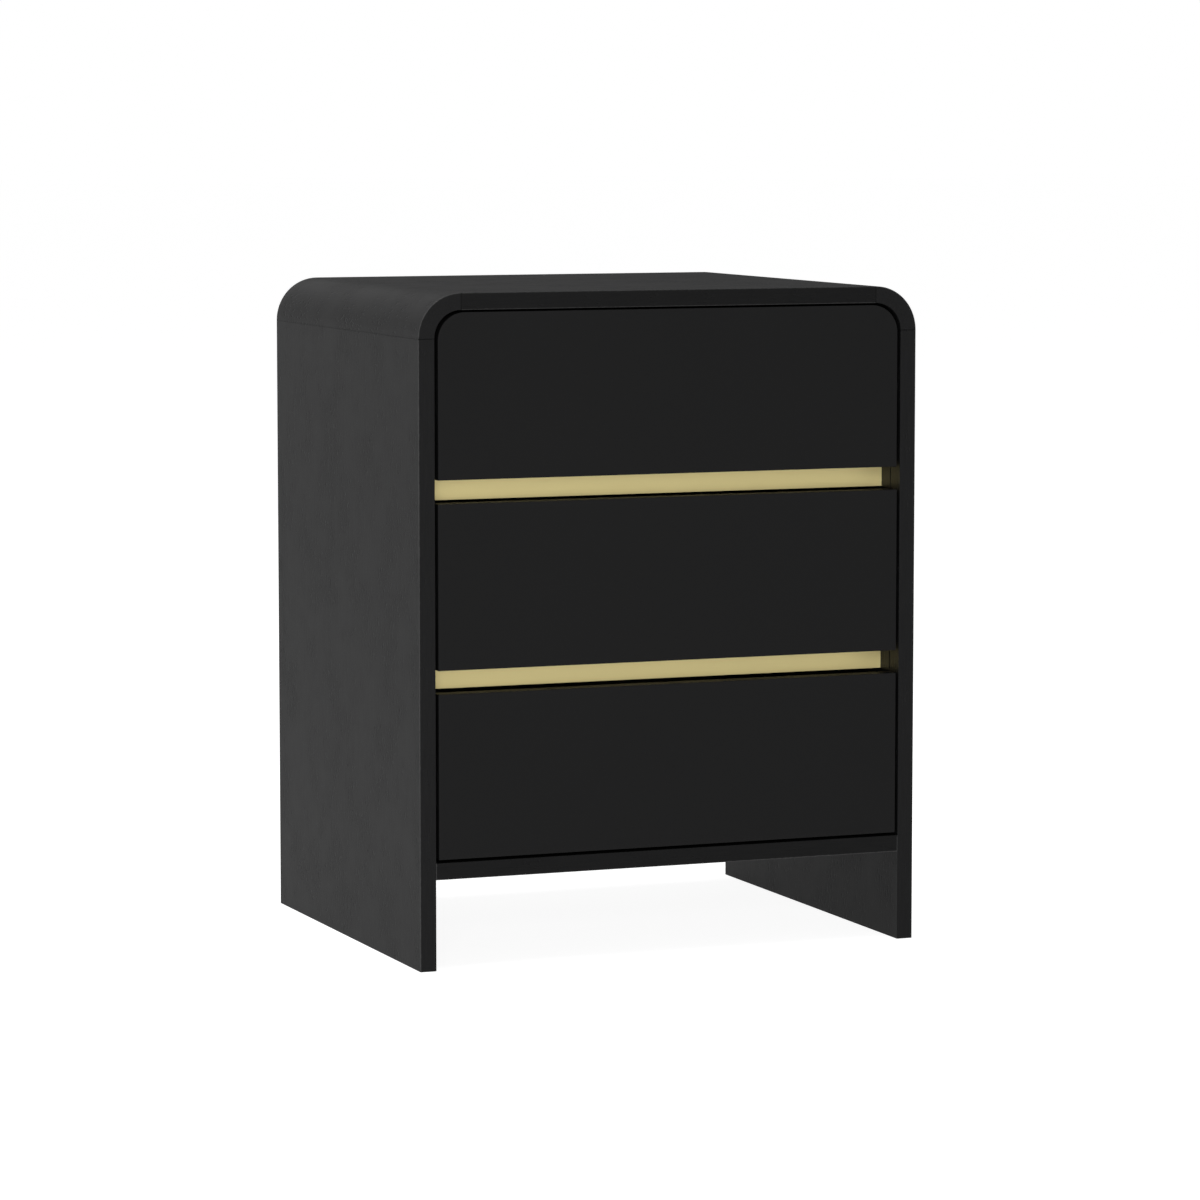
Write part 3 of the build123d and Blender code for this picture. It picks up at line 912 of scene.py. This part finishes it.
# ---------------------------------------------------------------- drawer boxes
# The sides and back of each box are 12 mm board faced with dark melamine that has a
# fine linen emboss. The bottom is painted hardboard, held in grooves on all four sides.

MELAMINE_DARK = (0.017, 0.017, 0.018)
MELAMINE_LIGHT = (0.027, 0.027, 0.028)
MELAMINE_CORE = (0.050, 0.048, 0.046)
WEAVE_PITCH = 0.0011


def linen_group():
    """A shallow linen emboss: two crossed sets of threads with slubs in them."""
    group, ins, outs = new_group(
        "linen emboss",
        [("Place", "NodeSocketVector", (0, 0, 0)), ("Pitch", "NodeSocketFloat", WEAVE_PITCH)],
        [("Thread", "NodeSocketFloat")],
    )
    slub = add_noise(group, ins.outputs["Place"], 160.0, 3.0, 0.6)
    parts = add_split(group, ins.outputs["Place"])
    turns = add_math(group, "DIVIDE", math.tau, ins.outputs["Pitch"])
    shift = add_math(group, "MULTIPLY", slub, 5.0)
    angles = [add_math(group, "MULTIPLY", part, turns) for part in parts]
    waves = [add_math(group, "SINE", add_math(group, "ADD", angle, shift)) for angle in angles]
    crossed = add_math(group, "MULTIPLY", add_math(group, "ADD", waves[0], waves[1]), waves[2])
    thread = add_math(group, "MULTIPLY", add_math(group, "ADD", crossed, 2.0), 0.25)
    group.links.new(thread, outs.inputs["Thread"])
    return group


linen = linen_group()


def melamine_material(node):
    """Melamine: a linen emboss, smudges in its sheen and edges rubbed to the core."""
    material, tree, shader, place = new_material(f"{node} melamine", specular=0.35)
    thread = add_group(tree, linen, Place=place)["Thread"]
    smudge = add_noise(tree, place, 17.0, 4.0, 0.55)
    colour = add_mix(tree, thread, MELAMINE_DARK, MELAMINE_LIGHT)
    colour = block_edge_wear_and_highlight(tree, place, colour, *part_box(node), wear_and_highlight=MELAMINE_CORE)
    tree.links.new(colour, shader.inputs["Base Color"])
    tree.links.new(add_step(tree, smudge, 0.3, 0.7, 0.42, 0.54), shader.inputs["Roughness"])
    add_bump(tree, shader, thread, 0.25, 0.0001)
    return material


box_hardboard = hardboard_material("box hardboard", (0.012, 0.012, 0.012), (0.026, 0.025, 0.024))
for level in LEVELS:
    for part in ("left_side", "right_side", "back"):
        finish(f"{level}_drawer_{part}", melamine_material(f"{level}_drawer_{part}"))
    finish(f"{level}_drawer_bottom", box_hardboard)

# ---------------------------------------------------------------- drawer fasteners
# Zinc cams in the box sides pull the front tight on its bolts. Two sunk screws 35 mm
# long go through each side into the end of the back, and three pan-head screws hold
# each slide's inner section.

SUNK_RADIUS = 0.0035
SUNK_DEPTH = 0.0026
SUNK_LENGTH = 0.035
SUNK_HEIGHTS = (0.022, 0.078)
SUNK_SHANK = 0.00170
SUNK_SHANK_END = 0.012
SUNK_CORE_START = 0.0125
SUNK_TIP = 0.031
sunk_blank = turned_blank(
    "sunk_blank",
    [
        (0, 0), (SUNK_RADIUS, 0), (SUNK_SHANK, SUNK_DEPTH), (SUNK_SHANK, SUNK_SHANK_END),
        (SCREW_CORE, SUNK_CORE_START), (SCREW_CORE, SUNK_TIP), (0, SUNK_LENGTH),
    ],
)
SUNK_SIZES = {
    "Blank": sunk_blank, "Thread_Start": 0.013, "Thread_Length": 0.018, "Recess_Depth": 0.0012
}


def back_screw_places(level, hand):
    """Where the heads of the screws into a box's back lie, in the face of its side."""
    low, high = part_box(f"{level}_drawer_{hand}_side")
    back_low, back_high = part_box(f"{level}_drawer_back")
    x = high.x if hand == "right" else low.x
    y = (back_low.y + back_high.y) / 2
    return [((x, y, low.z + height), INWARD[hand]) for height in SUNK_HEIGHTS]


for level in LEVELS:
    finish(f"{level}_drawer_cams", cast_zinc)
    finish(f"{level}_drawer_cam_bolts", plated_steel)
    body = f"{level}_drawer"
    for name, spots, sizes in (
        ("pan", [s for hand in SIGNS for s in slide_screw_places("inner", level, hand)], PAN_SIZES),
        ("back", [s for hand in SIGNS for s in back_screw_places(level, hand)], SUNK_SIZES),
    ):
        screws = grown(
            f"{level}_{name}_screws", spots, screws_on_points, body, "fastener_steel", **sizes
        )
        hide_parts(f"{level}_drawer_screws")
for blank in (pan_blank, sunk_blank):
    bpy.data.objects.remove(blank)

# ---------------------------------------------------------------- studio
# A pale, bright floor that fades into a white surround, and four soft lights: a strong
# one low in front, one overhead, one at the left and a weak one behind.

FLOOR_GLOW = 0.9
FLOOR_REACH = 40.0
FLOOR_GREYS = ((0.34, 0.34, 0.34), (0.36, 0.36, 0.36))
floor_mesh = bpy.data.meshes.new("floor")
corners = [(x * FLOOR_REACH, y * FLOOR_REACH, 0) for x, y in ((-1, -1), (1, -1), (1, 1), (-1, 1))]
floor_mesh.from_pydata(corners, [], [(0, 1, 2, 3)])
floor = bpy.data.objects.new("floor", floor_mesh)
bpy.context.scene.collection.objects.link(floor)
paint, tree, shader, place = new_material("pale floor", specular=0.1)
mottle = add_noise(tree, place, 3.0, 4.0)
tree.links.new(add_mix(tree, mottle, *FLOOR_GREYS), shader.inputs["Base Color"])
shader.inputs["Roughness"].default_value = 0.9
shader.inputs["Emission Color"].default_value = (1, 1, 1, 1)
shader.inputs["Emission Strength"].default_value = FLOOR_GLOW
floor_mesh.materials.append(paint)


def soft_light(name, place, aim, size, power):
    """A square area light that shines from a place at a point."""
    lamp = bpy.data.lights.new(name, "AREA")
    lamp.shape = "SQUARE"
    lamp.size = size
    lamp.energy = power
    light = bpy.data.objects.new(name, lamp)
    light.location = place
    light.rotation_mode = "QUATERNION"
    light.rotation_quaternion = (Vector(aim) - Vector(place)).to_track_quat("-Z", "Y")
    light.visible_camera = False
    bpy.context.scene.collection.objects.link(light)


soft_light("left softbox", (-2.8, -0.2, 2.6), (0, 0, 0.3), 2.4, 70)
soft_light("rear softbox", (-0.65, 3.8, 1.55), (0, 0, 0.4), 2.6, 19)
soft_light("front softbox", (-1.7, -5.4, 1.0), (0, 0, 0.4), 2.6, 200)
soft_light("overhead softbox", (0, 0.2, 3.4), (0, 0, 0), 3.0, 82)

SURROUND_LIGHT = 0.26
world = bpy.data.worlds.new("studio")
bpy.context.scene.world = world
world.use_nodes = True
sky = world.node_tree
lit = sky.nodes["Background"]
lit.inputs["Color"].default_value = (1, 1, 1, 1)
lit.inputs["Strength"].default_value = SURROUND_LIGHT
seen = sky.nodes.new("ShaderNodeBackground")
seen.inputs["Color"].default_value = (1, 1, 1, 1)
seen.inputs["Strength"].default_value = 1.0
path = sky.nodes.new("ShaderNodeLightPath")
blend = sky.nodes.new("ShaderNodeMixShader")
sky.links.new(path.outputs["Is Camera Ray"], blend.inputs[0])
sky.links.new(lit.outputs[0], blend.inputs[1])
sky.links.new(seen.outputs[0], blend.inputs[2])
sky.links.new(blend.outputs[0], sky.nodes["World Output"].inputs["Surface"])
bpy.context.scene.view_settings.view_transform = "Standard"
bpy.context.scene.view_settings.look = "None"

# ---------------------------------------------------------------- camera
# A long lens from the front left, a little above the top, that takes in the whole case.

LENS_LENGTH = 144.49
TURN = math.radians(-21.7657)
TILT = math.radians(5.9092)
DISTANCE = 4.5068
AIM = Vector((0.0107, 0.0, 0.3025))
lens = bpy.data.cameras.new("camera")
lens.lens = LENS_LENGTH
lens.sensor_width = 36.0
lens.clip_end = 200.0
camera = bpy.data.objects.new("camera", lens)
back = Vector((math.sin(TURN) * math.cos(TILT), -math.cos(TURN) * math.cos(TILT), math.sin(TILT)))
camera.location = AIM + back * DISTANCE
camera.rotation_mode = "QUATERNION"
camera.rotation_quaternion = (-back).to_track_quat("-Z", "Y")
bpy.context.scene.collection.objects.link(camera)
bpy.context.scene.camera = camera
